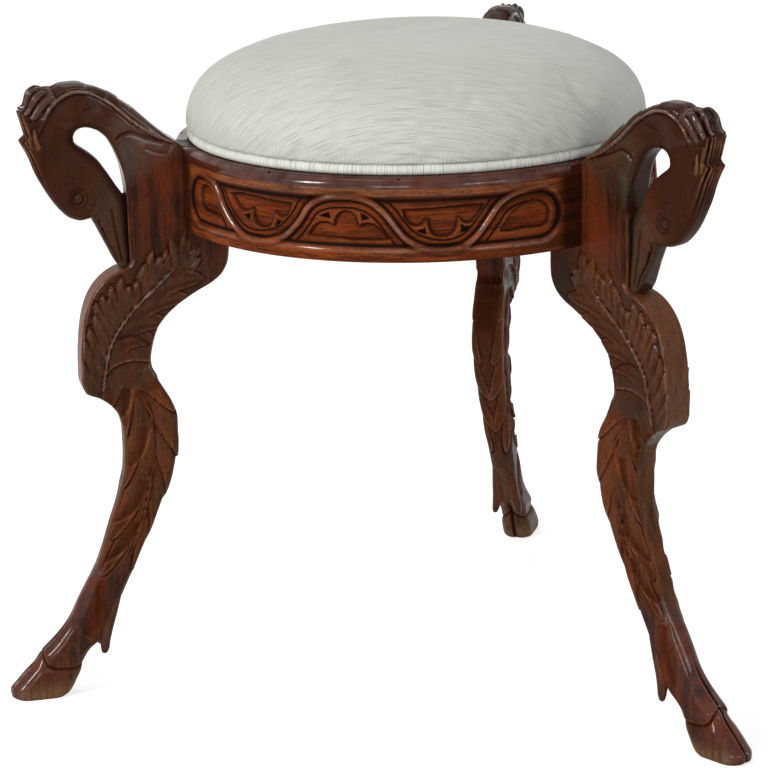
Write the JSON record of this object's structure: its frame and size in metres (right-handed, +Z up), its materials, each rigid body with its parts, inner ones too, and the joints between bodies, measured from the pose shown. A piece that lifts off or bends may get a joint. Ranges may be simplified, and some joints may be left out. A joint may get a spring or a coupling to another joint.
{
  "type": "round upholstered stool",
  "caption": "Round stuffed stool on swan-headed cabriole legs with cloven hooves, between curved carved rails.",
  "frame": {"origin": "the point on the floor under the stool's axis, midway between the three legs", "axes": "+Z up along the stool's axis; the back leg lies over +Y, and the other two legs at 210 and 330 degrees from +X"},
  "size_m": [0.597, 0.5266, 0.512],
  "materials": {
    "carved_wood": "gloss",
    "plain_wood": "matte",
    "velvet": "matte",
    "webbing_cloth": "matte",
    "wadding": "matte",
    "black_cloth": "matte",
    "steel": "satin"
  },
  "bodies": {
    "root": {"leg_left": "carved_wood", "leg_right": "carved_wood", "leg_back": "carved_wood", "apron_front": "carved_wood", "apron_left": "carved_wood", "apron_right": "carved_wood", "moulding_front": "carved_wood", "moulding_left": "carved_wood", "moulding_right": "carved_wood", "corner_block_left": "plain_wood", "corner_block_right": "plain_wood", "corner_block_back": "plain_wood", "leg_dowels": "plain_wood", "block_screws": "steel", "seat_screws": "steel", "moulding_brads": "steel", "seat_ring": "plain_wood", "webbing": "webbing_cloth", "hessian": "webbing_cloth", "stuffing": "wadding", "seat_cover": "velvet", "welt": "velvet", "dust_cover": "black_cloth", "cover_tacks": "steel"}
  },
  "joints": []
}
